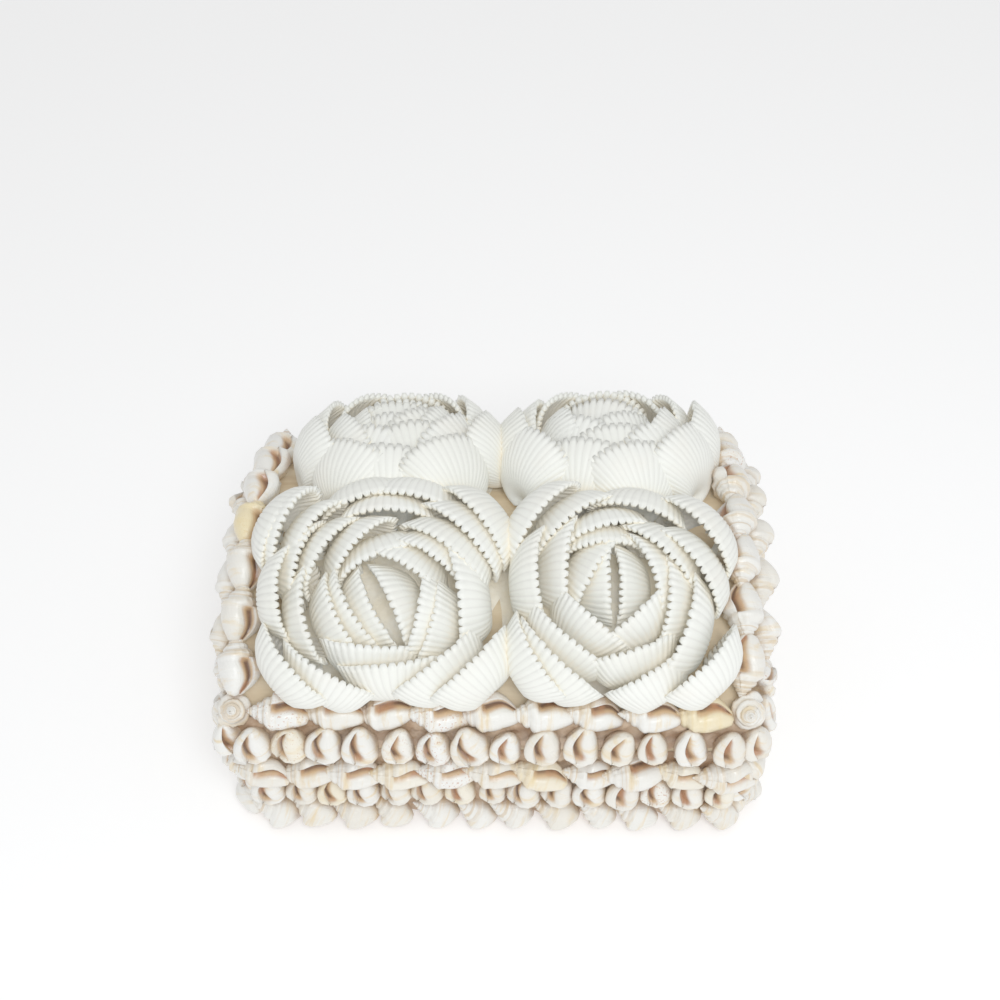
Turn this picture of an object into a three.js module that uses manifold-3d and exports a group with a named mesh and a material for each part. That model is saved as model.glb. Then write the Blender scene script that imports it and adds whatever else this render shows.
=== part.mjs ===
// Shell trinket box: an open tray with straight walls, a loose barrel lid, rows of small whelk
// shells glued round both, and four roses of cockle valves set on the arch of the lid.
// Millimetres, +Z up, +X right, front at -Y. The origin is the middle of the underside.

import * as THREE from 'three';
import { mergeVertices } from 'three/addons/utils/BufferGeometryUtils.js';
import Module from 'manifold-3d';

const wasm = await Module();
wasm.setup();

// ---- driving dimensions -------------------------------------------------------------------
const BOX_WIDTH = 140; // over the outer faces of the tray's end walls
const BOX_DEPTH = 104; // over the outer faces of the front and back walls
const BOARD = 3; // board thickness of walls, floor and lid
const TRAY_HEIGHT = 36; // to the rim that carries the lid
const LIP_HEIGHT = 3; // locating lip above the rim
const LIP_THICKNESS = 1.6;
const LIP_CLEARANCE = 0.5; // between the lip and the inside of the lid
const GAP = 0.3; // between neighbouring pieces

const ARCH_RADIUS = 71; // outer surface of the barrel lid
const ARCH_CENTRE_Z = -2.9;
const GABLE_BED = 2.6; // glue bed behind the shells in the curved heads of the lid's ends
const SHELL_RADIUS = 4.7; // belly of a whelk shell
const SHELL_LENGTH = 15.6;
const AXIS_OFF = 5.1; // from a board face to the axes of the shells on it

const BORDER_Z = 53.1; // front border row, at the foot of the arch
const SKIRT_ROW_Z = 43.7;
const TOP_ROW_Z = 28.4;
const MIDDLE_ROW_Z = 16.7;
const FOOT_ROW_Z = 4.9;

const ROSE_X = [-29, 32]; // centres of the left and the right rose
const ROSE_ANGLE = 20.5; // of the rose axes from upright, on the arch
const VALVE_WIDTH = 31;
const VALVE_HEIGHT = 25;
const VALVE_DEPTH = 5.6;
const VALVE_THICKNESS = 1.5;
const MOUND_RADIUS = 27; // glue mound that the hinges of a rose stand in
const MOUND_TOP = 3.2; // above the arch, at the rose axis

// Rings of valves in a rose, from the outside in. Radius is the distance of the valve mouths
// from the rose axis, lean is outward, base is the height of the hinges above the arch.
const RINGS = [
  { count: 8, radius: 25.5, lean: 6, scale: 1, base: -0.5 },
  { count: 6, radius: 17, lean: 3, scale: 0.98, base: 0.5 },
  { count: 4, radius: 9, lean: 1, scale: 0.92, base: 1.6 },
  { count: 1, radius: -1.5, lean: 0, scale: 0.84, base: 2 },
];
const ROSES = [
  { name: 'front_left', column: 0, side: -1, phase: 10 },
  { name: 'front_right', column: 1, side: -1, phase: 32 },
  { name: 'back_left', column: 0, side: 1, phase: 22 },
  { name: 'back_right', column: 1, side: 1, phase: 48 },
];

const rad = THREE.MathUtils.degToRad;

// ---- solids -------------------------------------------------------------------------------
// A closed three.js geometry as a manifold solid.
function solid(geometry, matrix = new THREE.Matrix4()) {
  const bare = geometry.clone();
  bare.deleteAttribute('normal');
  bare.deleteAttribute('uv');
  bare.applyMatrix4(matrix);
  const merged = mergeVertices(bare, 1e-4);
  return new wasm.Manifold(
    new wasm.Mesh({
      numProp: 3,
      vertProperties: new Float32Array(merged.attributes.position.array),
      triVerts: new Uint32Array(merged.index.array),
    }),
  );
}

function toGeometry(manifold) {
  const mesh = manifold.getMesh();
  const geometry = new THREE.BufferGeometry();
  geometry.setAttribute('position', new THREE.BufferAttribute(mesh.vertProperties, 3));
  geometry.setIndex(new THREE.BufferAttribute(mesh.triVerts, 1));
  geometry.computeVertexNormals();
  return geometry;
}

function joined(solids) {
  return solids.reduce((whole, next) => whole.add(next));
}

// A box between two corners.
function block(low, high) {
  const size = new THREE.Vector3().subVectors(high, low);
  const middle = new THREE.Vector3().addVectors(low, high).multiplyScalar(0.5);
  const place = new THREE.Matrix4().makeTranslation(middle);
  return solid(new THREE.BoxGeometry(size.x, size.y, size.z), place);
}

const at = (x, y, z) => new THREE.Vector3(x, y, z);

// A shape drawn in Y and Z, extruded along X from x0 to x1.
function along(shape, x0, x1, curveSegments = 12) {
  const geometry = new THREE.ExtrudeGeometry(shape, {
    depth: x1 - x0,
    bevelEnabled: false,
    curveSegments,
  });
  const toYZ = new THREE.Matrix4().makeBasis(at(0, 1, 0), at(0, 0, 1), at(1, 0, 0));
  return solid(geometry, toYZ.setPosition(x0, 0, 0));
}

// ---- tray ---------------------------------------------------------------------------------
function tray() {
  const x = BOX_WIDTH / 2;
  const y = BOX_DEPTH / 2;
  const outerOfLip = BOARD + LIP_CLEARANCE;
  const inside = outerOfLip + LIP_THICKNESS;
  const top = TRAY_HEIGHT + LIP_HEIGHT;
  const over = top + 5;
  const body = block(at(-x, -y, 0), at(x, y, top));
  const hollow = block(at(inside - x, inside - y, BOARD), at(x - inside, y - inside, over));
  const lip = block(
    at(outerOfLip - x, outerOfLip - y, TRAY_HEIGHT - 1),
    at(x - outerOfLip, y - outerOfLip, over),
  );
  const aboveRim = block(at(-x - 5, -y - 5, TRAY_HEIGHT), at(x + 5, y + 5, over));
  return body.subtract(hollow).subtract(aboveRim.subtract(lip));
}

// ---- lid ----------------------------------------------------------------------------------
// Outline of the barrel lid in Y and Z: straight skirt sides under an arch.
function lidOutline(halfDepth, radius, bottom) {
  const rise = Math.asin(halfDepth / radius);
  const shape = new THREE.Shape();
  shape.moveTo(-halfDepth, bottom);
  shape.lineTo(halfDepth, bottom);
  shape.absarc(0, ARCH_CENTRE_Z, radius, Math.PI / 2 - rise, Math.PI / 2 + rise, false);
  shape.closePath();
  return shape;
}

const LID_BOTTOM = TRAY_HEIGHT + GAP;

function lid() {
  const x = BOX_WIDTH / 2;
  const y = BOX_DEPTH / 2;
  const body = along(lidOutline(y, ARCH_RADIUS, LID_BOTTOM), -x, x, 16);
  const hollow = along(
    lidOutline(y - BOARD, ARCH_RADIUS - BOARD, LID_BOTTOM - 5),
    BOARD - x,
    x - BOARD,
    16,
  );
  return body.subtract(hollow);
}

// ---- whelk shells ---------------------------------------------------------------------------
// Shells in a chain along local Y, each with its spire at -Y and its siphon tip at +Y. The tip
// of one runs into the spire of the next.
const SPIRE = [0.72, -0.24]; // shares of the belly radius and of the length
const BELLY = [1, 0.02];
const WHELK_SIDES = 4;
const NECK = 0.34; // share of the belly radius where two shells meet

function whelks(count, pitch, length, radius) {
  const points = [new THREE.Vector2(0, (-(count - 1) / 2) * pitch - length / 2)];
  for (let i = 0; i < count; i++) {
    const middle = (i - (count - 1) / 2) * pitch;
    for (const [r, t] of [SPIRE, BELLY]) {
      points.push(new THREE.Vector2(r * radius, middle + t * length));
    }
    if (i < count - 1) {
      points.push(new THREE.Vector2(NECK * radius, middle + pitch / 2));
    }
  }
  points.push(new THREE.Vector2(0, ((count - 1) / 2) * pitch + length / 2));
  return new THREE.LatheGeometry(points, WHELK_SIDES);
}

const whelk = (length, radius) => whelks(1, 0, length, radius);

// One shell with its centre, the direction of its siphon tip and the direction it faces.
function placed(geometry, centre, tip, face) {
  const y = tip.clone().normalize();
  const x = new THREE.Vector3().crossVectors(y, face).normalize();
  const z = new THREE.Vector3().crossVectors(x, y);
  return solid(geometry, new THREE.Matrix4().makeBasis(x, y, z).setPosition(centre));
}

// The four sides of the box, as the outward normal and the direction that runs to the right
// as seen from outside.
const SIDES = {
  front: { out: at(0, -1, 0), right: at(1, 0, 0), wall: BOX_DEPTH / 2 },
  back: { out: at(0, 1, 0), right: at(-1, 0, 0), wall: BOX_DEPTH / 2 },
  left: { out: at(-1, 0, 0), right: at(0, -1, 0), wall: BOX_WIDTH / 2 },
  right: { out: at(1, 0, 0), right: at(0, 1, 0), wall: BOX_WIDTH / 2 },
};
const UP = at(0, 0, 1);

// Straight rows on the walls. Laid shells lie end to end with their spires to the left; upright
// ones stand side by side on their spires.
const WALL_ROWS = [
  { name: 'lid_skirt', z: SKIRT_ROW_Z, upright: true, length: 15, width: 11, counts: [14, 10],
    pitch: 10.3 },
  { name: 'tray_top', z: TOP_ROW_Z, upright: false, length: SHELL_LENGTH, width: 9.4,
    counts: [11, 8], pitch: 13.2 },
  { name: 'tray_middle', z: MIDDLE_ROW_Z, upright: true, length: 12, width: 10.2,
    counts: [15, 11], pitch: 9.5 },
  { name: 'tray_foot', z: FOOT_ROW_Z, upright: false, length: SHELL_LENGTH, width: 9.2,
    counts: [11, 8], pitch: 13.2 },
];

function wallRow(row, side) {
  const { out, right, wall } = SIDES[side];
  const isEnd = side === 'left' || side === 'right';
  const count = row.counts[isEnd ? 1 : 0];
  const spot = (s) =>
    right.clone().multiplyScalar(s).addScaledVector(out, wall + AXIS_OFF).setZ(row.z);
  if (!row.upright) {
    return placed(whelks(count, row.pitch, row.length, row.width / 2), spot(0), right, out);
  }
  const shell = whelk(row.length, row.width / 2).scale(1, 1, 0.9);
  const shells = [];
  for (let i = 0; i < count; i++) {
    shells.push(placed(shell, spot((i - (count - 1) / 2) * row.pitch), UP, out));
  }
  return joined(shells);
}

// ---- shells on the arch -----------------------------------------------------------------------
// A point at an angle from upright, positive towards the front, and a radius about the arch axis.
function onArch(x, angle, radius) {
  const a = rad(angle);
  return at(x, -radius * Math.sin(a), ARCH_CENTRE_Z + radius * Math.cos(a));
}
const archNormal = (angle) => onArch(0, angle, 1).sub(onArch(0, angle, 0));
const archForward = (angle) => archNormal(angle + 90);

const BORDER_RADIUS = ARCH_RADIUS + AXIS_OFF;
const FRONT_ANGLE = THREE.MathUtils.radToDeg(
  Math.acos((BORDER_Z - ARCH_CENTRE_Z) / BORDER_RADIUS),
);

// Front and back rows of the lid border, laid end to end along the foot of the arch.
const BORDER_COUNT = 9;
const BORDER_PITCH = 14.3;
function borderRow(side) {
  const sign = side === 'front' ? 1 : -1;
  const angle = sign * FRONT_ANGLE;
  const chain = whelks(BORDER_COUNT, BORDER_PITCH, SHELL_LENGTH, SHELL_RADIUS);
  return placed(chain, onArch(0, angle, BORDER_RADIUS), at(sign, 0, 0), archNormal(angle));
}

// Shells that follow the arch, spires to the front, at one X, radius and angular step.
function archChain(shell, count, step, x, radius, face) {
  const shells = [];
  for (let i = 0; i < count; i++) {
    const angle = (i - (count - 1) / 2) * step;
    const outward = face ?? archNormal(angle);
    shells.push(placed(shell, onArch(x, angle, radius), archForward(angle).negate(), outward));
  }
  return shells;
}

// Column of shells along the arch at one end of the lid, with a short shell standing at each
// corner.
const COLUMN_X = BOX_WIDTH / 2;
function borderColumn(sign) {
  const x = sign * COLUMN_X;
  const shells = archChain(whelk(SHELL_LENGTH, SHELL_RADIUS), 7, 11.3, x, BORDER_RADIUS);
  const corner = whelk(9.4, SHELL_RADIUS);
  for (const angle of [-FRONT_ANGLE, FRONT_ANGLE]) {
    const centre = onArch(x, angle * 0.99, BORDER_RADIUS + 0.3);
    shells.push(placed(corner, centre, archNormal(angle).negate(), at(sign, 0, 0)));
  }
  return joined(shells);
}

// Shells in the curved head of one end of the lid, above its skirt row: five that follow the
// arch and three level ones under them, on one bed.
const GABLE_BOTTOM = 51.4;
function gable(sign) {
  const bedRadius = ARCH_RADIUS - 0.6;
  const half = Math.sqrt(bedRadius ** 2 - (GABLE_BOTTOM - ARCH_CENTRE_Z) ** 2);
  const rise = Math.asin(half / bedRadius);
  const shape = new THREE.Shape();
  shape.absarc(0, ARCH_CENTRE_Z, bedRadius, Math.PI / 2 - rise, Math.PI / 2 + rise, false);
  shape.closePath();
  const face = BOX_WIDTH / 2 + GAP;
  const x0 = sign > 0 ? face : -face - GABLE_BED;
  const bed = along(shape, x0, x0 + GABLE_BED, 10);
  const out = at(sign, 0, 0);
  const x = sign * (BOX_WIDTH / 2 + AXIS_OFF);
  const upper = archChain(whelk(SHELL_LENGTH, 4.4), 5, 12.8, x, 67.6, out);
  const level = whelks(3, 13, 14, 3.8);
  const lower = placed(level, at(x - sign * 0.6, 0, 55.7), at(0, sign, 0), out);
  return joined([bed, ...upper, lower]);
}

// ---- roses ----------------------------------------------------------------------------------
// One cockle valve: a dish with a sharp rim. Local X is its width, local Y runs from hinge to
// margin and local Z is the way it bulges. The origin is the middle of its mouth.
function valve(width, height, depth) {
  const wall = VALVE_THICKNESS / depth;
  const profile = [
    [0, 1],
    [0.7, 0.62],
    [1, 0],
    [0, 1 - wall],
  ];
  const points = profile.map((p) => new THREE.Vector2(...p));
  const dish = new THREE.LatheGeometry(points, 5, Math.PI);
  const spots = dish.attributes.position;
  for (let i = 0; i < spots.count; i++) {
    const bulge = spots.getY(i);
    const up = spots.getZ(i);
    const fan = 1 + 0.12 * up;
    spots.setXYZ(
      i,
      -spots.getX(i) * fan * (width / 2),
      (up - 0.3 * bulge) * (height / 2),
      -bulge * depth,
    );
  }
  return dish;
}

function rose({ column, side, phase }) {
  const angle = -side * ROSE_ANGLE;
  const centre = onArch(ROSE_X[column], angle, ARCH_RADIUS);
  const axis = archNormal(angle);
  const across = at(1, 0, 0);
  const upArch = new THREE.Vector3().crossVectors(axis, across);
  const frame = new THREE.Matrix4().makeBasis(across, upArch, axis).setPosition(centre);

  const moundHeight = 14;
  const mound = new THREE.CylinderGeometry(MOUND_RADIUS - 5, MOUND_RADIUS, moundHeight, 8);
  mound.rotateX(Math.PI / 2);
  mound.translate(0, 0, MOUND_TOP - moundHeight / 2);
  const pieces = [solid(mound, frame)];

  for (const ring of RINGS) {
    const size = ring.scale;
    const pitch = (2 * Math.PI * (ring.radius + VALVE_DEPTH / 3)) / ring.count;
    const width = Math.min(VALVE_WIDTH * size, pitch * 0.88);
    const shape = valve(width, VALVE_HEIGHT * size, VALVE_DEPTH * size);
    for (let i = 0; i < ring.count; i++) {
      const turn = rad(phase + ring.radius * 4 + (360 / ring.count) * i);
      const squeeze = 1 - 0.05 * Math.sin(turn) ** 2;
      const foot = ring.base + (VALVE_HEIGHT * size) / 2;
      const spot = new THREE.Matrix4()
        .makeRotationZ(turn)
        .multiply(new THREE.Matrix4().makeTranslation(ring.radius * squeeze, 0, foot))
        .multiply(new THREE.Matrix4().makeRotationY(rad(ring.lean)))
        .multiply(new THREE.Matrix4().makeBasis(at(0, 1, 0), at(0, 0, 1), at(1, 0, 0)));
      pieces.push(solid(shape, frame.clone().multiply(spot)));
    }
  }
  const underside = along(
    lidOutline(BOX_DEPTH / 2 + 5, ARCH_RADIUS + GAP, 0),
    -BOX_WIDTH / 2,
    BOX_WIDTH / 2,
    16,
  );
  return joined(pieces).subtract(underside);
}

// ---- assembly -------------------------------------------------------------------------------
const LOOKS = {
  board: { color: 0xc9b08a, roughness: 0.8, metalness: 0 },
  whelk: { color: 0xece2d2, roughness: 0.35, metalness: 0 },
  cockle: { color: 0xf3f2ec, roughness: 0.45, metalness: 0 },
};

const box = new THREE.Group();

function addPiece(name, manifold, look) {
  const material = new THREE.MeshStandardMaterial(LOOKS[look]);
  const mesh = new THREE.Mesh(toGeometry(manifold), material);
  mesh.name = name;
  box.add(mesh);
}

addPiece('tray', tray(), 'board');
addPiece('lid', lid(), 'board');
for (const row of WALL_ROWS) {
  for (const side of Object.keys(SIDES)) {
    addPiece(`${row.name}_row_${side}`, wallRow(row, side), 'whelk');
  }
}
for (const side of ['front', 'back']) {
  addPiece(`lid_border_row_${side}`, borderRow(side), 'whelk');
}
for (const [side, sign] of [['left', -1], ['right', 1]]) {
  addPiece(`lid_border_column_${side}`, borderColumn(sign), 'whelk');
  addPiece(`lid_gable_shells_${side}`, gable(sign), 'whelk');
}
for (const each of ROSES) {
  addPiece(`rose_${each.name}`, rose(each), 'cockle');
}

export default box;
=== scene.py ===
"""Looks of the shell box: whelk rows, cockle-valve roses, glue, boards, photo table and light."""

import itertools
from typing import NamedTuple

import bpy
import numpy as np
from mathutils import Matrix, Vector


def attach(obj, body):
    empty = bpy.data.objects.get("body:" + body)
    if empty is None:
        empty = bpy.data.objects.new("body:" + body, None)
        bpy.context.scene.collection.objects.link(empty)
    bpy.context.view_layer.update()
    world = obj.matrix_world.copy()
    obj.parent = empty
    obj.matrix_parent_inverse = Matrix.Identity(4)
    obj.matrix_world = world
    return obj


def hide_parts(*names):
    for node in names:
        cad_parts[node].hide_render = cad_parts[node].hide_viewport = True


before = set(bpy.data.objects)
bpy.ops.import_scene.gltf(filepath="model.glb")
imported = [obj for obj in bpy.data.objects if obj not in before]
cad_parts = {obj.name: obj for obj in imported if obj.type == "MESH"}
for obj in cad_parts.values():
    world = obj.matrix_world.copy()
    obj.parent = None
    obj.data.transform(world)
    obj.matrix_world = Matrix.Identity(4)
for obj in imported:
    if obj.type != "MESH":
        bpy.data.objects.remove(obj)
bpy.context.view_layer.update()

MM = 0.001

# ---- sizes shared with the CAD part, in millimetres and degrees ----------------------------
HALF_WIDTH = 70.0
HALF_DEPTH = 52.0
ARCH_RADIUS = 71.0
ARCH_CENTRE_Z = -2.9
AXIS_OFF = 5.1  # from the face of a board to the axes of the whelks on it
BORDER_RADIUS = ARCH_RADIUS + AXIS_OFF
BORDER_Z = 53.1
FRONT_ANGLE = np.degrees(np.arccos((BORDER_Z - ARCH_CENTRE_Z) / BORDER_RADIUS))
ROSE_X = {"left": -29.0, "right": 32.0}

UP = np.array([0.0, 0.0, 1.0])
CIRCLE = 2 * np.pi


# ---- mesh collector --------------------------------------------------------------------------
class Shape:
    """Vertices, quads and per-vertex values of one piece, gathered part by part in millimetres."""

    def __init__(self):
        self.verts = []
        self.quads = []
        self.mats = []
        self.values = {}
        self.count = 0

    def add(self, verts, quads, mat=0, **values):
        """Adds one skin, with the number of its material and its per-vertex values."""
        self.verts.append(verts)
        self.quads.append(quads + self.count)
        self.mats.append(np.full(len(quads), mat))
        for key, value in values.items():
            column = np.broadcast_to(np.asarray(value, float), (len(verts),))
            self.values.setdefault(key, []).append((self.count, column))
        self.count += len(verts)

    def build(self, name, materials, replaced=()):
        """Makes the piece, fixes it to the root body and hides the CAD pieces that it replaces."""
        quads = np.concatenate(self.quads)
        mesh = bpy.data.meshes.new(name)
        mesh.from_pydata((np.concatenate(self.verts) * MM).tolist(), [], quads.tolist())
        for material in materials:
            mesh.materials.append(material)
        mesh.polygons.foreach_set("material_index", np.concatenate(self.mats))
        mesh.polygons.foreach_set("use_smooth", np.ones(len(quads), bool))
        self.store_values(mesh)
        mesh.validate()
        piece = bpy.data.objects.new(name, mesh)
        bpy.context.scene.collection.objects.link(piece)
        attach(piece, "root")
        if replaced:
            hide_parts(*replaced)

    def store_values(self, mesh):
        """Writes each value as an attribute of the mesh, 0 on the skins that don't have it."""
        for key, parts in self.values.items():
            column = np.zeros(self.count, np.float32)
            for start, part in parts:
                column[start : start + len(part)] = part
            mesh.attributes.new(key, "FLOAT", "POINT").data.foreach_set("value", column)


def grid_quads(rows, cols, wrap=False, flip=False):
    """Quads of a grid of points stored row by row."""
    r = np.arange(rows - 1)[:, None]
    c = np.arange(cols if wrap else cols - 1)[None, :]
    n = (c + 1) % cols
    corners = [r * cols + c, r * cols + n, (r + 1) * cols + n, (r + 1) * cols + c]
    quads = np.stack(corners, -1).reshape(-1, 4)
    return quads[:, ::-1] if flip else quads


def unit(v):
    return v / np.linalg.norm(v)


def smooth(low, high, x):
    """Rises from 0 at low to 1 at high."""
    t = np.clip((x - low) / (high - low), 0, 1)
    return t * t * (3 - 2 * t)


def basis(tip, face):
    """Axes of a piece whose local Y runs along tip and whose local Z faces along face."""
    y = unit(np.asarray(tip, float))
    x = unit(np.cross(y, np.asarray(face, float)))
    return np.stack([x, y, np.cross(x, y)])


def turned(axes, about, degrees):
    """Axes turned about one of their own directions."""
    turn = np.array(Matrix.Rotation(np.radians(degrees), 3, Vector(axes[about])))
    return axes @ turn.T


# ---- whelks ------------------------------------------------------------------------------------
# Along a whelk, 0 is the apex of the spire and 1 the lower end of the opening.
WHORL = 1.55  # growth of one whorl, as distance from the apex
SUTURE = 0.42  # where the last suture meets the lip
# outline: shares of half the width, at these places along the whelk
PROFILE_D = [0, 0.05, 0.1, 0.2, 0.3, 0.38, 0.45, 0.52, 0.6, 0.7, 0.8, 0.9, 0.965, 1.0]
PROFILE_R = [0.02, 0.13, 0.23, 0.43, 0.64, 0.81, 0.94, 1.0, 0.98, 0.88, 0.72, 0.52, 0.35, 0.02]
# angles round the axis from the edge of the lip and back to it, closest together near it
TURNS = np.radians(
    [0, 3, 8, 13, 18, 23, 28, 34, 44, 60, 84, 108, 133, 158, 183, 208, 233, 256, 276, 292]
    + [304, 313, 321, 330, 340, 350, 357, 360]
)
APEX_ROW = [0.004]
SPIRE_ROWS = SUTURE * WHORL ** np.arange(-4.4, -0.01, 0.2)
BODY_ROWS = [0.42, 0.45, 0.5, 0.56, 0.62, 0.68, 0.74, 0.8, 0.86, 0.92, 0.965, 0.99, 1.0]
WHELK_ROWS = np.concatenate([APEX_ROW, SPIRE_ROWS, BODY_ROWS])

# Reliefs below are shares of the whelk's radius.
CORD = 0.08  # swelling of a whorl between its sutures
KNOB = 0.06
KNOBS_PER_WHORL = 11
SUTURE_CUT = 0.12
BODY_GROWTH = 0.17  # the last whorl is this much slimmer where it starts
LIP_SWELL = 0.23
LIP_TURNED_IN = 0.16
CAVE_DEPTH = 0.56

# the opening's depth, from 0 to 1, at these angles from the edge of the lip
SLIT_DEGREES = [0, 3, 13, 28, 50]
SLIT_DEPTH = [1, 1, 0.92, 0.5, 0]
SLIT_LENGTH = 0.56
LIP_TURN = np.radians(43)  # the edge of the lip is this far from the side that faces out
TWIST = np.radians(30)  # the lower end of the opening bends back round the body
CAVE_HEADING = np.radians(18)  # the opening runs in under the lip
TIP_BEND = 0.06  # of the siphon to one side, as a share of the length


def whorls(d, turn):
    """Swelling of the spire: a cord of flesh between sutures, with low knobs."""
    phase = np.log(d / SUTURE) / np.log(WHORL) - (turn / CIRCLE - 1)
    part = phase - np.floor(phase)
    near = np.where(phase < 0, np.minimum(part, 1 - part), np.clip(phase, 0, 9))
    arch = np.where(phase < 0.9, np.sin(np.pi * np.clip(part, 0, 1)), 0.0)
    knobs = KNOB * np.cos(KNOBS_PER_WHORL * turn + 2 * phase) * np.exp(-(((part - 0.4) / 0.3) ** 2))
    spire = (CORD * arch + knobs) * (d < 0.5)
    return 1 + spire - SUTURE_CUT * np.exp(-((near / 0.12) ** 2))


def opening(d, turn):
    """Depth of the opening, from 0 outside it to 1 deep in it."""
    length = np.clip((d - SUTURE) / SLIT_LENGTH, 0, 1)
    height = np.minimum(1, 3.2 * np.sqrt(length * (1 - length) + 1e-9)) * (length < 1)
    return height * np.interp(np.degrees(turn), SLIT_DEGREES, SLIT_DEPTH)


def whelk_radius(d, turn):
    """Distance of the skin from the axis, as a share of half the width."""
    share = turn / CIRCLE
    body = smooth(0.4, 0.5, d)
    growth = 1 - BODY_GROWTH * body * (1 - share)
    fade = 1 - 0.5 * smooth(0.8, 1, d)
    swell = LIP_SWELL * body * fade * smooth(0.84, 0.91, share)
    turned_in = LIP_TURNED_IN * body * smooth(0.945, 1.0, share)
    reach = np.interp(d, PROFILE_D, PROFILE_R) * whorls(d, turn)
    return reach * growth * (1 + swell - turned_in)


def whelk(shape, centre, axes, length, width, rng, tint=0.0):
    """One dextral whelk: axis along local Y with the spire at -Y, opening towards local Z."""
    d = WHELK_ROWS[:, None]
    turn = TURNS[None, :]
    radius = whelk_radius(d, turn) * width / 2
    dug = opening(d, turn)
    bearing = turn - LIP_TURN + TWIST * (1 - smooth(0.42, 0.86, d))
    bend = TIP_BEND * length * smooth(0.7, 1.0, d) * rng.uniform(-0.5, 1)
    cave = CAVE_DEPTH * dug * radius
    across = radius * np.sin(bearing) - cave * np.sin(CAVE_HEADING) + bend
    along = np.broadcast_to((d - 0.5) * length, radius.shape)
    outward = radius * np.cos(bearing) - cave * np.cos(CAVE_HEADING)
    local = np.stack([across, along, outward], -1).reshape(-1, 3)
    shape.add(
        local @ axes + centre,
        grid_quads(*radius.shape, wrap=True),
        along=np.broadcast_to(d, radius.shape).ravel(),
        around=np.broadcast_to(turn / CIRCLE, radius.shape).ravel(),
        mouth=dug.ravel(),
        tone=rng.uniform(0, 1),
        tint=tint,
    )


def jittered(axes, rng, roll=12, lean=5, yaw=5):
    """Axes with a hand-set whelk's small irregularities, in degrees."""
    axes = turned(axes, 1, rng.normal(0, roll))
    axes = turned(axes, 0, rng.normal(0, lean))
    return turned(axes, 2, rng.normal(0, yaw))


# ---- straight rows -----------------------------------------------------------------------------
SIDES = {
    "front": (np.array([0, -1.0, 0]), np.array([1.0, 0, 0]), HALF_DEPTH),
    "back": (np.array([0, 1.0, 0]), np.array([-1.0, 0, 0]), HALF_DEPTH),
    "left": (np.array([-1.0, 0, 0]), np.array([0, -1.0, 0]), HALF_WIDTH),
    "right": (np.array([1.0, 0, 0]), np.array([0, 1.0, 0]), HALF_WIDTH),
}


class Row(NamedTuple):
    """One row of whelks round the walls, in millimetres and degrees."""

    z: float
    upright: bool
    length: float
    width: float
    long_count: int
    short_count: int
    pitch: float
    roll: float
    slant: float
    sunk: float  # how much deeper than the CAD row it is set in the glue


WALL_ROWS = {
    "lid_skirt": Row(43.2, True, 16.4, 10.0, 14, 10, pitch=10.0, roll=-14, slant=0, sunk=0.0),
    "tray_top": Row(28.4, False, 17.6, 10.2, 11, 8, pitch=13.2, roll=-50, slant=-9, sunk=0.8),
    "tray_middle": Row(17.2, True, 13.6, 9.4, 15, 11, pitch=9.3, roll=-14, slant=0, sunk=1.4),
    "tray_foot": Row(6.3, False, 15.8, 10.4, 12, 9, pitch=12.0, roll=65, slant=-30, sunk=2.2),
}
PLACE_JITTER = 0.4
HEIGHT_JITTER = 0.35
SIZE_JITTER = 0.06
CORNER_OFF = 2.6  # from the walls' planes to the axis of the whelk that is set across a corner
CORNER_SUNK = 1.6  # corner whelks sink this much for each millimetre that their row is sunk
CORNER_LENGTH = 0.86


def wall_row(name, side, rng, materials):
    row = WALL_ROWS[name]
    out, right, wall = SIDES[side]
    short = side in ("left", "right")
    count = row.short_count if short else row.long_count
    shape = Shape()
    for i in range(count):
        s = (i - (count - 1) / 2) * row.pitch + rng.normal(0, PLACE_JITTER)
        size = rng.normal(1, SIZE_JITTER)
        z = row.z + rng.normal(0, HEIGHT_JITTER)
        centre = right * s + out * (wall + AXIS_OFF - row.sunk) + UP * z
        axes = basis(UP if row.upright else right, out)
        axes = turned(turned(axes, 2, row.slant), 1, row.roll)
        axes = jittered(axes, rng, yaw=7 if row.upright else 10)
        tint = max(0, rng.normal(-0.15, 0.3))
        whelk(shape, centre, axes, row.length * size, row.width * size, rng, tint)
    if not short:
        for end in (-1, 1):
            corner_whelk(shape, out, right, end, row, rng)
    piece = f"{name}_row_{side}"
    shape.build(piece + "_shells", materials, [piece])


def corner_whelk(shape, out, right, end, row, rng):
    """A whelk set across the corner between two rows."""
    off = CORNER_OFF - CORNER_SUNK * row.sunk
    centre = right * end * (HALF_WIDTH + off) + out * (HALF_DEPTH + off) + UP * row.z
    face = unit(right * end + out)
    tip = UP if row.upright else unit(right - out * end)
    axes = jittered(basis(tip, face), rng, roll=30)
    whelk(shape, centre, axes, row.length * CORNER_LENGTH, row.width, rng)


# ---- rows on the lid ---------------------------------------------------------------------------
BORDER_COUNT = 9
BORDER_PITCH = 14.3
BORDER_SHELL = (17.8, 10.8)  # length and width
BORDER_LOWER = 0.6  # degrees farther down the arch than the CAD row
BORDER_ROLL = -22
BORDER_TINT = 0.8  # of the yellowish shell at the right end of the front row

COLUMN_COUNT = 7
COLUMN_STEP = 11.1  # degrees over the arch
COLUMN_INSET = 0.8
COLUMN_SHELL = (18.0, 11.6)
YELLOW_COLUMN_SHELL = 3  # of the left column, counted from 0 at its back end
END_SHELL = (12.5, 10)  # at the two feet of a column, facing the end of the box
END_SUNK = 1.0

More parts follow.
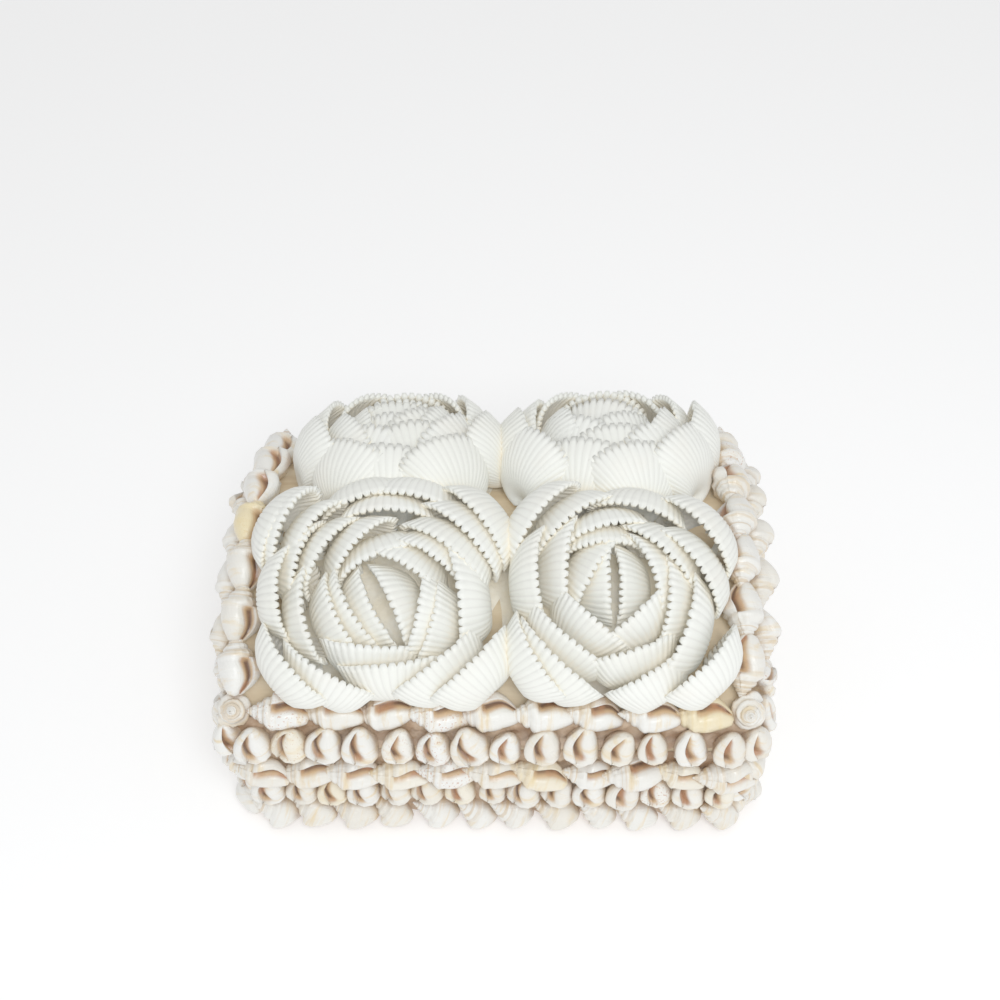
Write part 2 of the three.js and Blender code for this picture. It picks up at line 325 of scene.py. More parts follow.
GABLE_RADIUS = 67.6
GABLE_STEP = 12.8
GABLE_SHELL = (16.2, 9.6)
INNER_SUNK = 0.6
INNER_PITCH = 13.0
INNER_Z = 56.0
INNER_SHELL = (15, 8.6)
SPANDREL_SUNK = 0.8
SPANDREL_Y = 37.5
SPANDREL_Z = 53.0
SPANDREL_SHELL = (13.5, 8.4)


def on_arch(x, angle, radius):
    """Point over the lid's arch, at an angle from upright towards the front."""
    a = np.radians(angle)
    return np.array([x, -radius * np.sin(a), ARCH_CENTRE_Z + radius * np.cos(a)])


def arch_normal(angle):
    return on_arch(0, angle, 1) - on_arch(0, angle, 0)


def arch_forward(angle):
    return arch_normal(angle + 90)


def border_row(side, rng, materials):
    sign = 1 if side == "front" else -1
    angle = sign * (FRONT_ANGLE + BORDER_LOWER)
    length, width = BORDER_SHELL
    shape = Shape()
    for i in range(BORDER_COUNT):
        x = (i - (BORDER_COUNT - 1) / 2) * BORDER_PITCH + rng.normal(0, 0.5)
        axes = basis([sign, 0, 0], arch_normal(angle))
        axes = jittered(turned(axes, 1, BORDER_ROLL), rng, roll=10)
        size = rng.normal(1, 0.05)
        centre = on_arch(x, angle, BORDER_RADIUS + rng.normal(0, 0.3))
        last = side == "front" and i == BORDER_COUNT - 1
        tint = BORDER_TINT if last else 0.0
        whelk(shape, centre, axes, length * size, width * size, rng, tint)
    piece = f"lid_border_row_{side}"
    shape.build(piece + "_shells", materials, [piece])


def border_column(side, rng, materials):
    sign = -1 if side == "left" else 1
    shape = Shape()
    for i in range(COLUMN_COUNT):
        angle = (i - (COLUMN_COUNT - 1) / 2) * COLUMN_STEP
        centre = on_arch(sign * (HALF_WIDTH - COLUMN_INSET), angle, BORDER_RADIUS)
        axes = basis(-sign * arch_forward(angle), arch_normal(angle))
        axes = jittered(turned(axes, 1, rng.uniform(-50, 0)), rng)
        tint = 1.0 if (side == "left" and i == YELLOW_COLUMN_SHELL) else 0.0
        whelk(shape, centre, axes, *COLUMN_SHELL, rng, tint)
    for angle in (-FRONT_ANGLE, FRONT_ANGLE):
        centre = on_arch(sign * HALF_WIDTH, angle, BORDER_RADIUS - END_SUNK)
        axes = jittered(basis(-arch_normal(angle), [sign, 0, 0]), rng, roll=40)
        whelk(shape, centre, axes, *END_SHELL, rng)
    piece = f"lid_border_column_{side}"
    shape.build(piece + "_shells", materials, [piece])


def gable_places(sign):
    """Centre, direction of the tip, and size of each whelk on one curved head of the lid."""
    axis_x = HALF_WIDTH + AXIS_OFF
    for i in range(-2, 3):
        angle = i * GABLE_STEP
        yield on_arch(sign * axis_x, angle, GABLE_RADIUS), -arch_forward(angle), GABLE_SHELL
    for i in range(-1, 2):
        centre = np.array([sign * (axis_x - INNER_SUNK), i * INNER_PITCH, INNER_Z - abs(i)])
        yield centre, [0, sign, 0], INNER_SHELL
    for y in (-SPANDREL_Y, SPANDREL_Y):
        centre = np.array([sign * (axis_x - SPANDREL_SUNK), y, SPANDREL_Z])
        yield centre, [0, sign * y, abs(y) * 0.5], SPANDREL_SHELL


def gable(side, rng, materials):
    sign = -1 if side == "left" else 1
    shape = Shape()
    for centre, tip, size in gable_places(sign):
        axes = jittered(basis(tip, [sign, 0, 0.0]), rng, roll=25)
        whelk(shape, centre, axes, *size, rng)
    bed_on_gable(shape, sign)
    piece = f"lid_gable_shells_{side}"
    shape.build(piece, materials, [piece])


def bed_on_gable(shape, sign):
    """Bumpy glue over the curved head of the lid's end."""
    cols, rows = 48, 18
    half, foot = 47, 48
    y = np.linspace(-half, half, cols)[None, :]
    t = np.linspace(0, 1, rows)[:, None]
    top = np.sqrt((ARCH_RADIUS - 0.6) ** 2 - y**2) + ARCH_CENTRE_Z
    z = foot + (np.maximum(top, foot + 0.5) - foot) * t
    edge = np.minimum(1, 6 * np.minimum(t, 1 - t))
    thick = 0.3 + edge * (1.7 + 0.7 * np.sin(0.7 * y + 3 * t) * np.cos(0.6 * z))
    x = sign * (HALF_WIDTH + thick)
    verts = np.stack([x, np.broadcast_to(y, x.shape), z], -1).reshape(-1, 3)
    shape.add(verts, grid_quads(rows, cols, flip=sign > 0), 1)


# ---- cockle valves -----------------------------------------------------------------------------
# On a valve, grow runs from 0 at the beak to 1 at the margin, and fan is the angle round the beak.
RIBS = 34
RIB_STEP = [0.0, 0.26, 0.74]  # groove, and the two edges of the flat top, across one rib
HALF_FAN = np.radians(156)  # the margin runs this far round to each side of the tip
RIB_PHASE = np.repeat(np.arange(RIBS), len(RIB_STEP)) + np.tile(RIB_STEP, RIBS)
FAN = np.append(HALF_FAN * (2 * RIB_PHASE / RIBS - 1), HALF_FAN)
RIB_HEIGHT = np.append(np.tile([0.0, 1.0, 1.0], RIBS), 0.0)
GROW = np.array([0.05, 0.14, 0.25, 0.37, 0.49, 0.6, 0.7, 0.79, 0.86, 0.915, 0.955, 1.0])
GROW_INSIDE = np.array([0.985, 0.93, 0.8, 0.6, 0.38, 0.15])

RIB_RELIEF = 0.36
GROWTH_RIDGE = 0.1
TOOTH = 0.95
THICKNESS = 0.85
NOTCH = 1.0  # depth of the notches inside the rim, between teeth
CURL = 1.0  # the teeth bend this far in over the hollow
BOW = 1.3  # the sides of a valve reach this far round the heart
BEAK = 0.1  # height of the beak above the hinge, as a share of the valve's height
FULL_DEPTH = 0.83  # how far the bulge formula reaches for a depth of 1


def dish(grow, fan, width, height, depth, skew):
    """Points of a smooth valve."""
    waist = 1 - 0.18 * ((1 - np.cos(fan)) / 2) ** 1.5
    margin_x = width / 2 * np.sin(fan) * waist
    margin_y = height * (0.52 + 0.48 * np.cos(fan))
    beak = BEAK * height
    x = margin_x * grow + skew * 0.1 * (margin_y - beak) * grow
    y = beak + (margin_y - beak) * grow
    bulge = 0.45 * (1 - grow) + 1.75 * grow**0.8 * np.maximum(1 - grow, 0) ** 0.8
    z = np.broadcast_to(depth / FULL_DEPTH * bulge, x.shape)
    return np.stack([x, y, z], -1)


def dish_normals(grow, fan, *sizes):
    step = 1e-3
    outward = dish(grow + step, fan, *sizes) - dish(grow - step, fan, *sizes)
    around = dish(grow, fan + step, *sizes) - dish(grow, fan - step, *sizes)
    normals = np.cross(around, outward)
    return normals / np.linalg.norm(normals, axis=-1, keepdims=True)


def margin_directions(sizes):
    """Directions out from the margin, in the plane of the mouth, in which the teeth point."""
    edge = np.array([[1.0]])
    away = dish(edge, FAN, *sizes) - dish(0.9 * edge, FAN, *sizes)
    away[..., 2] = 0
    return away / np.linalg.norm(away, axis=-1, keepdims=True)


def outer_skin(sizes, phase, ribs, teeth, away):
    """The ribbed outside of a valve, from the beak to the teeth."""
    grow = GROW[:, None]
    points = dish(np.minimum(grow, 0.997), FAN, *sizes)
    normals = dish_normals(np.clip(grow, 0.02, 0.98), FAN, *sizes)
    ridge = GROWTH_RIDGE * np.sin(CIRCLE * (3.1 * grow + phase)) * smooth(0.4, 0.8, grow)
    points = points + normals * (RIB_RELIEF * grow**0.8 * RIB_HEIGHT + ridge)[..., None]
    points = points + away * (smooth(0.9, 1.0, grow) * teeth)[..., None]
    points[..., 2] -= CURL * smooth(0.86, 1.0, grow) * ribs
    return points


def inner_skin(sizes, ribs, teeth, away):
    """The fluted inside of a valve, from the rim down to the hinge."""
    grow = GROW_INSIDE[:, None]
    points = dish(grow, FAN, *sizes)
    normals = dish_normals(np.clip(grow, 0.02, 0.97), FAN, *sizes)
    flute = NOTCH * smooth(0.84, 0.95, grow) * (RIB_HEIGHT - 0.6)
    points = points - normals * (THICKNESS + flute)[..., None]
    points = points + away * (smooth(0.9, 1.0, grow) * 0.85 * teeth)[..., None]
    points[..., 2] -= CURL * smooth(0.86, 1.0, grow) * ribs
    return points


def valve(shape, origin, axes, width, height, depth, rng):
    """One ribbed cockle valve standing on its hinge, bulging along local Z."""
    sizes = (width, height, depth, rng.uniform(-1, 1))
    phase = rng.uniform(0, 1)
    uneven = np.append(np.repeat(rng.normal(1, 0.12, RIBS), len(RIB_STEP)), 1)
    ribs = RIB_HEIGHT * uneven
    teeth = TOOTH * (ribs - 0.5)
    away = margin_directions(sizes)
    outer = outer_skin(sizes, phase, ribs, teeth, away)
    inner = inner_skin(sizes, ribs, teeth, away)
    points = np.concatenate([outer, inner]).reshape(-1, 3)
    points[:, 2] -= BOW * (2 * points[:, 0] / width) ** 2
    cols = len(FAN)
    rows = len(GROW) + len(GROW_INSIDE)
    shape.add(
        points @ axes + origin,
        grid_quads(rows, cols),
        grow=np.repeat(np.append(GROW, GROW_INSIDE), cols),
        rib=np.tile(RIB_HEIGHT, rows),
        inner=np.repeat([0.0] * len(GROW) + [1.0] * len(GROW_INSIDE), cols),
        tone=rng.uniform(0, 1),
    )


# ---- roses -------------------------------------------------------------------------------------
# Petals of the roses: heading in degrees counter-clockwise from the box's right, distance of the
# valve's mouth from the rose axis, slide along the mouth, and width, in millimetres.
FRONT_LEFT = [
    (150, 33.0, -2, 29), (158, 30.0, -4, 28), (148, 23.5, -1, 28), (109, 25.0, -2, 29),
    (80, 25.5, -4, 29), (38, 31.5, -1, 30), (46, 25.0, -6, 31), (54, 17.3, -9, 31),
    (92, 19.5, -1, 29), (141, 10.5, -2, 27), (113, 5.5, -3, 29), (60, 6.0, -5, 26),
    (56, 12.5, -8, 26), (9, 20.5, -8, 32), (-44, 34.5, 1, 29), (-49, 28.0, -2, 30),
    (-84, 24.0, 1, 30), (-94, 19.0, 0, 29), (-141, 32.5, 2, 30), (-121, 28.5, 1, 30),
    (180, 26.0, 2, 28), (-172, 19.8, 5, 30), (-154, 14.0, 5, 27), (-149, 10.5, 5, 27),
    (-155, 5.0, 5, 27), (148, 16.5, 0, 28), (165, 22.0, 0, 27), (26, 0.5, -8, 27),
    (-9, 13.0, -7, 26), (-12, 17.0, -8, 24),
]
FRONT_RIGHT = [
    (143, 25.5, -3, 31), (128, 19.3, -3, 30), (75, 22.0, -4, 29), (40, 28.5, -4, 30),
    (36, 20.2, -9, 31), (46, 15.0, -5, 29), (-178, 18.5, -1, 28), (176, 11.0, -3, 29),
    (105, 13.7, -4, 28), (146, 4.0, -2, 28), (95, 9.5, 0, 24), (180, 0.5, 0, 25),
    (3, 3.5, -1, 24), (20, 11.0, -2, 27), (-3, 16.0, -3, 27), (-17, 22.5, -6, 32),
    (-45, 34.0, 1, 28), (-48, 12.5, -2, 28), (-70, 20.5, 0, 28), (-57, 27.0, -4, 26),
    (-151, 27.0, 8, 28), (-135, 25.0, 6, 31), (-131, 19.3, 3, 29), (-134, 11.5, 3, 27),
]
BACK_LEFT = [
    (-122, 25, 0, 30), (-90, 24, 0, 31), (-52, 27, 0, 31), (-160, 25, 0, 29), (-14, 26, 0, 29),
    (-112, 15, 0, 30), (-72, 14, 0, 30), (-30, 18, 0, 30), (-150, 17, 0, 28), (-100, 6, 0, 28),
    (-45, 7, 0, 28), (-80, -3, 0, 29), (-20, 11, 0, 27), (-168, 10, 0, 27), (110, 4, 0, 27),
    (50, 15, 0, 28), (92, 12, 0, 29), (135, 15, 0, 28), (172, 21, 0, 28), (15, 20, 0, 28),
]
BACK_RIGHT = [
    (-140, 26, 0, 30), (-105, 22, 0, 31), (-68, 25, 0, 30), (-35, 27, 0, 30), (-5, 27, 0, 30),
    (-170, 25, 0, 29), (-118, 12, 0, 30), (-80, 15, 0, 29), (-45, 19, 0, 29), (-15, 18, 0, 29),
    (-60, 8, 0, 27), (-105, -2, 0, 29), (-165, 12, 0, 27), (70, 5, 0, 27), (55, 15, 0, 28),
    (95, 12, 0, 29), (135, 15, 0, 28), (172, 20, 0, 28), (20, 20, 0, 28),
]
ROSES = {
    ("left", "front"): FRONT_LEFT,
    ("right", "front"): FRONT_RIGHT,
    ("left", "back"): BACK_LEFT,
    ("right", "back"): BACK_RIGHT,
}
# side: place of the rose on the arch and tilt of its axis, in degrees towards the front
ROSE_STAND = {"front": (17.5, 22.0), "back": (-23.0, -33.0)}
PETAL_HEIGHT = {"front": 25.0, "back": 23.0}
PETAL_DEPTH = 8.6
OPEN_NEAR = 6.0  # degrees by which petals lean out, most of all where they face the front
LEAN_CENTRE = 0.68  # height on a petal that stays in place when it leans, as a share
FOOT_SUNK = 0.6

MOUND_RADIUS = 31
MOUND_HEART = 20  # radius of the raised middle of a mound
MOUND_LIFT = 2.0
HEART_LIFT = 9


def rose_frame(column, side):
    """Foot of the rose's axis, and its directions to the right, away from the front, and up."""
    foot, tilt = ROSE_STAND[side]
    origin = on_arch(ROSE_X[column], foot, ARCH_RADIUS)
    up = arch_normal(tilt)
    across = np.array([1.0, 0, 0])
    return origin, across, np.cross(up, across), up


def drop_to_arch(point, up):
    """The point moved along up onto the lid's arch."""
    flat = np.array([point[1], point[2] - ARCH_CENTRE_Z])
    height = flat @ up[1:]
    half_chord = np.sqrt(max(height * height - flat @ flat + ARCH_RADIUS**2, 0))
    return point + up * (half_chord - height)


def petal(shape, stand, place, full_height, rng):
    """One valve on its hinge in the mound of glue."""
    origin, across, far, up = stand
    heading, distance, slide, width = place
    a = np.radians(heading)
    out = across * np.cos(a) + far * np.sin(a)
    along = -across * np.sin(a) + far * np.cos(a)
    lean = OPEN_NEAR * (1 - np.sin(a)) * min(1, distance / 20) + rng.normal(0, 1)
    size = 0.8 + 0.2 * width / 31
    height = full_height * size * rng.normal(1, 0.02)
    inset = LEAN_CENTRE * height * np.sin(np.radians(lean))
    foot = drop_to_arch(origin + out * (distance - inset) + along * slide, up)
    axes = turned(np.stack([along, up, out]), 0, lean)
    valve(shape, foot - up * FOOT_SUNK, axes, width, height, PETAL_DEPTH * size, rng)


def rose(column, side, petals, rng, materials):
    stand = rose_frame(column, side)
    shape = Shape()
    for place in petals:
        petal(shape, stand, place, PETAL_HEIGHT[side], rng)
    glue_mound(shape, *stand)
    piece = f"rose_{side}_{column}"
    shape.build(piece + "_valves", materials, [piece])


def glue_mound(shape, origin, across, far, up):
    """Glue that the hinges stand in, spread over the arch under a rose."""
    rings, spokes = 12, 40
    r = np.linspace(0.5, MOUND_RADIUS, rings)[:, None]
    a = np.linspace(0, CIRCLE, spokes, endpoint=False)[None, :]
    radius = r * (1 + 0.04 * np.sin(5 * a) + 0.03 * np.sin(11 * a + 1))
    lift = MOUND_LIFT * (1 - (r / MOUND_RADIUS) ** 4) + HEART_LIFT * np.exp(-((r / MOUND_HEART) ** 4))
    lift = lift + 0.4 * np.sin(3 * a + r / 3) * np.cos(r / 2)
    verts = []
    for k in range(rings):
        for m in range(spokes):
            aside = radius[k, m] * np.cos(a[0, m])
            beyond = radius[k, m] * np.sin(a[0, m])
            foot = drop_to_arch(origin + across * aside + far * beyond, up)
            verts.append(foot + up * max(lift[k, m], -0.2))
    shape.add(np.array(verts), grid_quads(rings, spokes, wrap=True, flip=True), 1)


# ---- glue beds on the walls --------------------------------------------------------------------
BEDS = {"tray_glue": (1.0, 34.5), "lid_glue": (36.6, 50.5)}  # from and to these heights
BED_COLUMNS_PER_MM = 0.6
BED_ROWS_PER_MM = 0.9


def wall_bed(name, side, rng, materials):
    """A bumpy skin of glue between two heights of one wall."""
    low, high = BEDS[name]
    out, right, wall = SIDES[side]
    half = HALF_WIDTH if side in ("front", "back") else HALF_DEPTH
    cols = int(2 * half * BED_COLUMNS_PER_MM)
    rows = int((high - low) * BED_ROWS_PER_MM)
    s = np.linspace(-half, half, cols)[None, :]
    z = np.linspace(low, high, rows)[:, None]
    edge = np.minimum(1, np.minimum(z - low, high - z) / 1.5 + 0.05)
    a, b, c = rng.uniform(0, 6, 3)
    bump = np.sin(0.7 * s + a) * np.sin(0.9 * z + b) + 0.6 * np.sin(1.7 * s + 1.1 * z + c)
    thick = 0.15 + edge * (1.5 + 0.6 * bump).clip(0.3, 3)
    points = right * s[..., None] + out * (wall + thick)[..., None] + UP * z[..., None]
    shape = Shape()
    shape.add(points.reshape(-1, 3), grid_quads(rows, cols))
    shape.build(f"{name}_{side}", materials)


# ---- materials ---------------------------------------------------------------------------------
# Colours are linear red, green and blue.
CREAM = (0.79, 0.75, 0.66)
PORCELAIN = (0.85, 0.845, 0.805)
HONEY = (0.78, 0.62, 0.38)
BAND_BROWN = (0.62, 0.43, 0.22)
DOT_RED = (0.55, 0.28, 0.16)
YELLOW = (0.84, 0.66, 0.30)
# grime and painted shade: browns that darken the whelks' hidden creases
GRIME_AND_PAINTED_SHADE = ((0.54, 0.36, 0.18), (0.32, 0.16, 0.06))
THROAT_EDGE = (0.60, 0.37, 0.18)
# the opening's brown, taken to near black as painted shade in its depth
THROAT_BROWN_AND_SHADE = (0.11, 0.045, 0.02)
THROAT_MARK = (0.42, 0.18, 0.08)
VALVE_WHITE = ((0.88, 0.885, 0.81), (0.91, 0.92, 0.86))
# painted shade in the grooves between the ribs
VALVE_GROOVE_SHADE = (0.74, 0.73, 0.68)
VALVE_STAIN = (0.90, 0.85, 0.74)
VALVE_INSIDE = ((0.95, 0.92, 0.84), (0.97, 0.95, 0.89))
# painted light: warm bounce light painted into the valves' hollows
VALVE_PAINTED_BOUNCE = (1.0, 0.925, 0.76)
# glue's orange-brown, its darker tones deepened as painted shade for the gaps between rows
GLUE_TONES_AND_SHADE = ((0.34, 0.19, 0.10), (0.70, 0.51, 0.34))
PALE_GLUE = ((0.92, 0.82, 0.62), (0.98, 0.93, 0.80))
BOARD = ((0.66, 0.49, 0.28), (0.82, 0.66, 0.43))
BOARD_BLOTCH = (0.70, 0.60, 0.44)
FLOOR = ((0.97, 0.97, 0.97), (0.98, 0.98, 0.98))


class Nodes:
    """A material's node tree with short calls for the nodes used here."""

    def __init__(self, name):
        self.material = bpy.data.materials.new(name)
        self.material.use_nodes = True
        self.tree = self.material.node_tree
        self.tree.nodes.clear()
        output = self.tree.nodes.new("ShaderNodeOutputMaterial")
        self.shader = self.tree.nodes.new("ShaderNodeBsdfPrincipled")
        self.tree.links.new(self.shader.outputs[0], output.inputs[0])

    def node(self, kind, inputs=None, **settings):
        node = self.tree.nodes.new("ShaderNode" + kind)
        for key, value in settings.items():
            setattr(node, key, value)
        for key, value in (inputs or {}).items():
            self.put(node.inputs[key], value)
        return node

    def put(self, socket, value):
        """Links an output to the socket, or sets the socket to a plain value."""
        if hasattr(value, "is_output"):
            self.tree.links.new(value, socket)
        else:
            socket.default_value = value

    def value(self, name):
        return self.node("Attribute", attribute_name=name).outputs["Fac"]

    def maths(self, operation, a, b):
        return self.node("Math", {0: a, 1: b}, operation=operation).outputs[0]

    def times(self, a, b):
        return self.maths("MULTIPLY", a, b)

    def plus(self, a, b):
        return self.maths("ADD", a, b)

    def ramp(self, factor, low, high):
        """0 at low and 1 at high, smooth between them."""
        limits = {"Value": factor, "From Min": low, "From Max": high}
        node = self.node("MapRange", limits, interpolation_type="SMOOTHSTEP")
        return node.outputs["Result"]

    def place(self):
        return self.node("TexCoord").outputs["Object"]

    def noise(self, scale, detail=2.0, rough=0.5, vector=None):
        inputs = {"Scale": scale, "Detail": detail, "Roughness": rough}
        inputs["Vector"] = self.place() if vector is None else vector
        return self.node("TexNoise", inputs).outputs["Fac"]

    def mix(self, factor, a, b):
        node = self.node("Mix", data_type="RGBA")
        self.put(node.inputs[0], factor)
        self.put(node.inputs[6], (*a, 1) if isinstance(a, tuple) else a)
        self.put(node.inputs[7], (*b, 1) if isinstance(b, tuple) else b)
        return node.outputs[2]

    def combine(self, x, y, z):
        return self.node("CombineXYZ", {0: x, 1: y, 2: z}).outputs[0]

    def occlusion(self, distance, low, high):
        """0 where the surface is open beyond low, 1 where it is hidden beyond high."""
        node = self.node("AmbientOcclusion", {"Distance": distance}, samples=8)
        return self.ramp(node.outputs["AO"], low, high)

    def bump(self, height, strength, distance):
        inputs = {"Height": height, "Strength": strength, "Distance": distance}
        return self.node("Bump", inputs).outputs[0]

    def finish(self, colour, roughness, normal=None, **uniform):
        """Sets the shader's inputs and returns the material."""
        self.put(self.shader.inputs["Base Color"], colour)
        self.put(self.shader.inputs["Roughness"], roughness)
        if normal is not None:
            self.put(self.shader.inputs["Normal"], normal)
        for key, value in uniform.items():
            self.shader.inputs[key.replace("_", " ")].default_value = value
        return self.material


def whelk_pattern(n, along, around, tone, seed):
    """Cream porcelain with honey patches, brown bands near the spire and, on a few shells, dots."""
    cream = n.mix(tone, CREAM, PORCELAIN)
    patch = n.combine(n.times(around, 2.0), n.times(along, 6.0), seed)
    colour = n.mix(n.ramp(n.noise(1.3, 3.0, 0.6, patch), 0.48, 0.76), cream, HONEY)
    level = n.combine(0.0, n.times(along, 20.0), seed)
    bands = n.ramp(n.noise(1.0, 1.0, 0.5, level), 0.52, 0.64)
    stain = n.times(bands, n.ramp(along, 0.6, 0.2))
    colour = n.mix(n.times(stain, 0.6), colour, BAND_BROWN)
    speck = n.ramp(n.noise(1500.0, 1.0, 0.4), 0.63, 0.68)
    dots = n.times(speck, n.ramp(tone, 0.9, 0.93))
    return n.mix(n.times(dots, 0.7), colour, DOT_RED)


def whelk_throat(n, colour, mouth):
    """Brown of the opening over the colour of the shell, taken to near black by painted shade deep in
    it.
    """
    throat = n.mix(n.ramp(mouth, 0.5, 1.0), THROAT_EDGE, THROAT_BROWN_AND_SHADE)
    throat = n.mix(n.ramp(n.noise(150.0), 0.45, 0.65), throat, THROAT_MARK)
    return n.mix(n.times(n.ramp(mouth, 0.15, 0.6), 0.92), colour, throat)


def whelk_relief(n, along, around, seed):
    """Fine growth lines along the axis and cords round it."""
    lines = n.combine(n.times(around, 60.0), n.times(along, 4.0), seed)
    cords = n.combine(n.times(around, 3.0), n.times(along, 70.0), seed)
    height = n.plus(n.noise(1.0, 2.0, 0.5, lines), n.times(n.noise(1.0, 1.0, 0.5, cords), 0.6))
    return n.bump(height, 0.35, 0.0007)


def whelk_material():
    n = Nodes("whelk_porcelain")
    along = n.value("along")
    around = n.value("around")
    tone = n.value("tone")
    seed = n.times(tone, 37.0)
    colour = whelk_pattern(n, along, around, tone, seed)
    colour = n.mix(n.times(n.value("tint"), 0.8), colour, YELLOW)
    # partly grime, partly painted shade: creases hidden by neighbours are darkened towards brown
    grime_and_shade = n.mix(n.ramp(n.noise(170.0, 2.0), 0.4, 0.65), *GRIME_AND_PAINTED_SHADE)
    colour = n.mix(n.times(n.occlusion(0.006, 0.78, 0.25), 0.75), colour, grime_and_shade)
    colour = whelk_throat(n, colour, n.value("mouth"))
    rough = n.plus(0.2, n.times(n.noise(220.0), 0.25))
    relief = whelk_relief(n, along, around, seed)
    return n.finish(colour, rough, relief, Coat_Weight=0.3, Coat_Roughness=0.12)


def cockle_material():
    n = Nodes("cockle_ribs")
    grow = n.value("grow")
    inner = n.value("inner")
    tone = n.value("tone")
    # painted shade: the grooves between the ribs are darkened
    groove = n.times(n.ramp(n.value("rib"), 0.8, 0.0), 0.5)
    colour = n.mix(groove, n.mix(tone, *VALVE_WHITE), VALVE_GROOVE_SHADE)
    stain = n.times(n.ramp(n.noise(60.0, 3.0), 0.5, 0.8), 0.4)
    colour = n.mix(stain, colour, VALVE_STAIN)
    inside = n.mix(n.noise(45.0, 2.0), *VALVE_INSIDE)
    colour = n.mix(n.times(inner, n.ramp(grow, 1.0, 0.9)), colour, inside)
    # painted light: hidden hollows of the valves turn a warm cream brighter than the shell, standing
    # in for bounced light
    colour = n.mix(n.times(n.occlusion(0.008, 0.58, 0.15), 0.85), colour, VALVE_PAINTED_BOUNCE)
    level = n.combine(0.0, n.times(grow, 55.0), n.times(tone, 31.0))
    relief = n.plus(n.noise(1.0, 2.0, 0.6, level), n.times(n.noise(900.0, 2.0), 0.25))
    rough = n.maths("SUBTRACT", 0.5, n.times(inner, 0.18))
    return n.finish(colour, rough, n.bump(relief, 0.2, 0.0004))


def glue_material(name, colours):
    n = Nodes(name)
    colour = n.mix(n.ramp(n.noise(120.0, 4.0, 0.6), 0.35, 0.7), *colours)
    rough = n.plus(0.3, n.times(n.noise(300.0), 0.4))
    return n.finish(colour, rough, n.bump(n.noise(500.0, 4.0), 0.5, 0.001))


def board_material():
    n = Nodes("tan_board")
    long = n.node("Mapping", {"Vector": n.place(), "Scale": (0.25, 1.6, 1.6)}).outputs[0]
    grain = n.noise(120.0, 5.0, 0.65, long)
    blotch = n.noise(22.0, 3.0, 0.6)
    colour = n.mix(n.ramp(grain, 0.3, 0.75), *BOARD)
    colour = n.mix(n.times(n.ramp(blotch, 0.5, 0.75), 0.5), colour, BOARD_BLOTCH)
    rough = n.plus(0.55, n.times(blotch, 0.3))
    return n.finish(colour, rough, n.bump(grain, 0.3, 0.0006))


def floor_material():
    """White top of a photo table that is lit from below."""
    n = Nodes("pale_floor")
    colour = n.mix(n.noise(3.0), *FLOOR)
    return n.finish(colour, 0.8, Emission_Color=(1.0, 1.0, 1.0, 1.0), Emission_Strength=0.2)


# ---- stage: floor, lights and the photo's camera -----------------------------------------------
# Lengths are in metres, apart from the sensor and the lens in millimetres; angles in degrees.
FLOOR_HALF = 3.0
SKY_STRENGTH = 0.52
KEY_PLACE = (0.11, -0.38, 0.55)
KEY_TARGET = (0, 0, 0.05)
KEY_SIZE = 0.25
KEY_POWER = 1.9
KEY_COLOUR = (0.95, 0.98, 1.0)

ELEVATION = 49.87
AZIMUTH = 4.72
ROLL = -3.58
DISTANCE = 0.3775
TARGET = Vector((0, 0, BORDER_Z * MM))
SENSOR = 36.0
LENS = 45.72
SHIFT = (0.0048, 0.0656)
NEAREST = 0.01
VIEW_GAMMA = 1.45  # the photo is a pale, high-key one


def floor():
    half = FLOOR_HALF
    corners = [(-half, -half, 0), (half, -half, 0), (half, half, 0), (-half, half, 0)]
    mesh = bpy.data.meshes.new("floor")
    mesh.from_pydata(corners, [], [(0, 1, 2, 3)])
    mesh.materials.append(floor_material())
    piece = bpy.data.objects.new("floor", mesh)
    bpy.context.scene.collection.objects.link(piece)


def key_light():
    light = bpy.data.lights.new("key", "AREA")
    light.shape = "SQUARE"
    light.size = KEY_SIZE
    light.energy = KEY_POWER
    light.color = KEY_COLOUR
    lamp = bpy.data.objects.new("key", light)
    lamp.location = KEY_PLACE
    aim = Vector(KEY_TARGET) - Vector(KEY_PLACE)
    lamp.rotation_euler = aim.to_track_quat("-Z", "Y").to_euler()
    bpy.context.scene.collection.objects.link(lamp)


def sky():
    world = bpy.data.worlds.new("studio")
    world.use_nodes = True
    background = world.node_tree.nodes["Background"]
    background.inputs["Color"].default_value = (1, 1, 1, 1)
    background.inputs["Strength"].default_value = SKY_STRENGTH
    bpy.context.scene.world = world


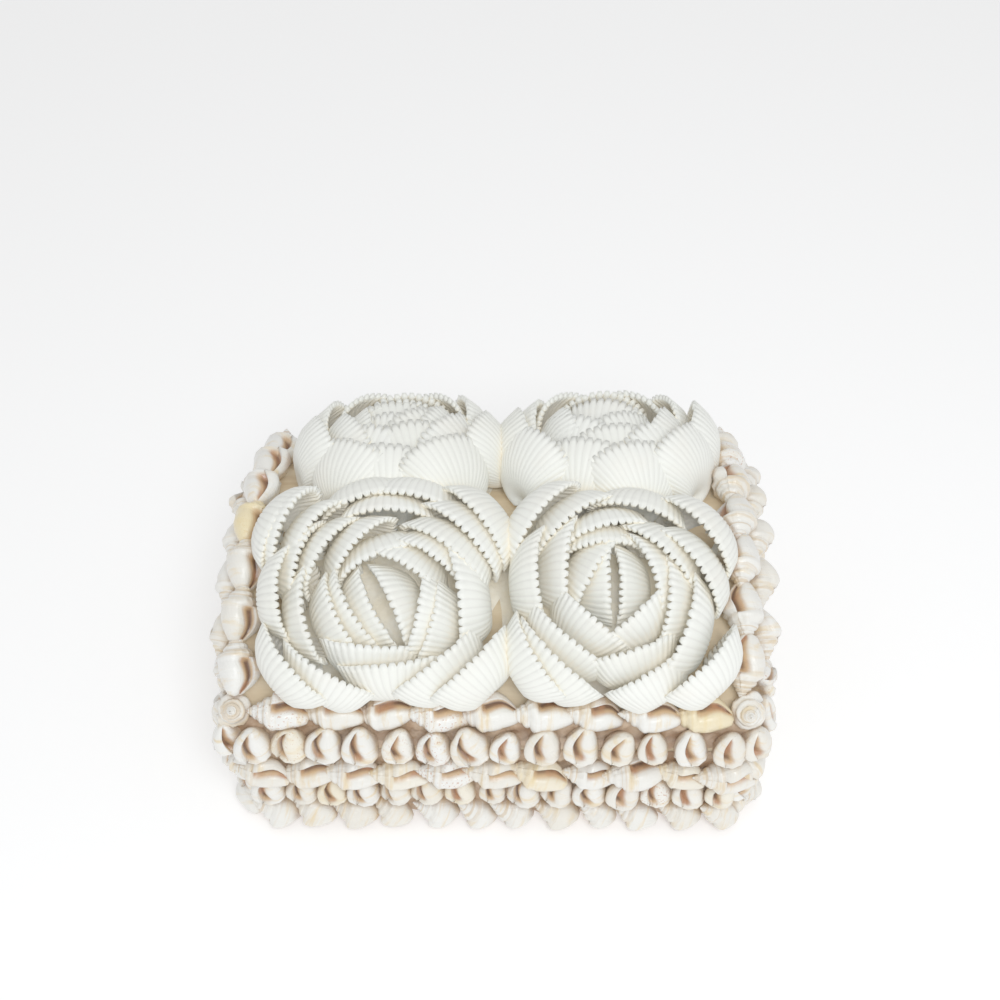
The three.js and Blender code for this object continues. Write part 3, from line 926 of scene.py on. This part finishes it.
def camera():
    e = np.radians(ELEVATION)
    a = np.radians(AZIMUTH)
    away = Vector((np.sin(a) * np.cos(e), -np.cos(a) * np.cos(e), np.sin(e)))
    data = bpy.data.cameras.new("camera")
    data.sensor_width = SENSOR
    data.lens = LENS
    data.shift_x, data.shift_y = SHIFT
    data.clip_start = NEAREST
    eye = bpy.data.objects.new("camera", data)
    level = (-away).to_track_quat("-Z", "Y").to_matrix()
    turn = level @ Matrix.Rotation(np.radians(ROLL), 3, "Z")
    eye.matrix_world = Matrix.Translation(TARGET + away * DISTANCE) @ turn.to_4x4()
    bpy.context.scene.collection.objects.link(eye)
    bpy.context.scene.camera = eye


# ---- assembly ----------------------------------------------------------------------------------
SEEDS = itertools.count(12)  # one for each place, in the order of assembly
SECOND = 50  # added to the seed of the second piece at the same place


def draws(seed):
    return np.random.default_rng(seed)


def shell_rows(whelks, glue_and_shade):
    for name in WALL_ROWS:
        for side in SIDES:
            wall_row(name, side, draws(next(SEEDS)), [whelks])
    for side in ("front", "back"):
        border_row(side, draws(next(SEEDS)), [whelks])
    for side in ("left", "right"):
        seed = next(SEEDS)
        border_column(side, draws(seed), [whelks])
        gable(side, draws(seed + SECOND), [whelks, glue_and_shade])


def glue_beds(glue_and_shade):
    for side in SIDES:
        seed = next(SEEDS)
        wall_bed("tray_glue", side, draws(seed), [glue_and_shade])
        wall_bed("lid_glue", side, draws(seed + SECOND), [glue_and_shade])


def boards():
    """The CAD boards keep their own meshes and get the look of a tan board."""
    board = board_material()
    for name in ("tray", "lid"):
        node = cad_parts[name]
        node.data.materials.clear()
        node.data.materials.append(board)


def main():
    # glue on the walls and gables, its darker tones partly painted shade for the gaps between rows
    glue_and_shade = glue_material("glue_grit_and_shade", GLUE_TONES_AND_SHADE)
    shell_rows(whelk_material(), glue_and_shade)
    glue_beds(glue_and_shade)
    rose_materials = [cockle_material(), glue_material("pale_glue", PALE_GLUE)]
    for (column, side), petals in ROSES.items():
        rose(column, side, petals, draws(next(SEEDS)), rose_materials)
    boards()
    floor()
    sky()
    key_light()
    camera()
    bpy.context.scene.view_settings.view_transform = "Standard"
    bpy.context.scene.view_settings.gamma = VIEW_GAMMA


main()
